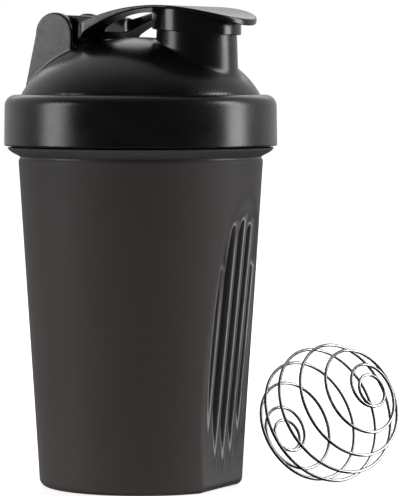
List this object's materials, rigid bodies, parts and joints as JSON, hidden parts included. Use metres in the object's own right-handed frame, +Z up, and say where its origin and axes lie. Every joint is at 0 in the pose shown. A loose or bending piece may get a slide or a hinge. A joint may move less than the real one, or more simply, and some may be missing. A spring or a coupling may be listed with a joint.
{
  "type": "protein shaker bottle",
  "caption": "Tapered smoked shaker cup with gripping pads, a black screw lid with a spout and hinged flip cap on a carry arm, and a loose spiral wire ball.",
  "frame": {"origin": "centre of the cup's flat base, on the surface that it stands on", "axes": "+Z up along the cup's axis, +X from the lid's hinge to its spout, +Y completes the right-handed frame"},
  "size_m": [0.1292, 0.1151, 0.1722],
  "materials": {
    "cup_plastic": "smoked translucent polypropylene with a soft satin sheen",
    "lid_plastic": "black satin polypropylene with a fine moulded grain",
    "seal_silicone": "soft translucent silicone",
    "cap_plastic": "black satin polypropylene",
    "plug_silicone": "soft dark silicone",
    "ball_steel": "polished stainless wire with fine drawing marks"
  },
  "bodies": {
    "cup": {"cup": "cup_plastic"},
    "lid_seal": {"lid_seal": "seal_silicone"},
    "lid": {"lid": "lid_plastic"},
    "flip_cap": {"flip_cap": "cap_plastic", "spout_plug": "plug_silicone"},
    "whisk_ball": {"whisk_ball": "ball_steel"}
  },
  "joints": [
    {"name": "lid_lift", "type": "slide", "parent": "cup", "child": "lid_seal", "axis": [0, 0, 1], "range_m": [0, 0.0076]},
    {"name": "lid_turn", "type": "hinge", "parent": "lid_seal", "child": "lid", "pos_m": [0, 0, 0.13], "axis": [0, 0, 1], "range_deg": [0, 450]},
    {"name": "flip_hinge", "type": "hinge", "parent": "lid", "child": "flip_cap", "pos_m": [-0.0287, 0, 0.1624], "axis": [0, -1, 0], "range_deg": [0, 180]},
    {"name": "ball_lift", "type": "slide", "parent": "cup", "child": "whisk_ball", "axis": [0.6559, 0.3638, 0.6614], "range_m": [0, 0.2]}
  ],
  "couplings": [
    {"joint": "lid_lift", "follows": "lid_turn", "m_per_rad": 0.00095493}
  ]
}
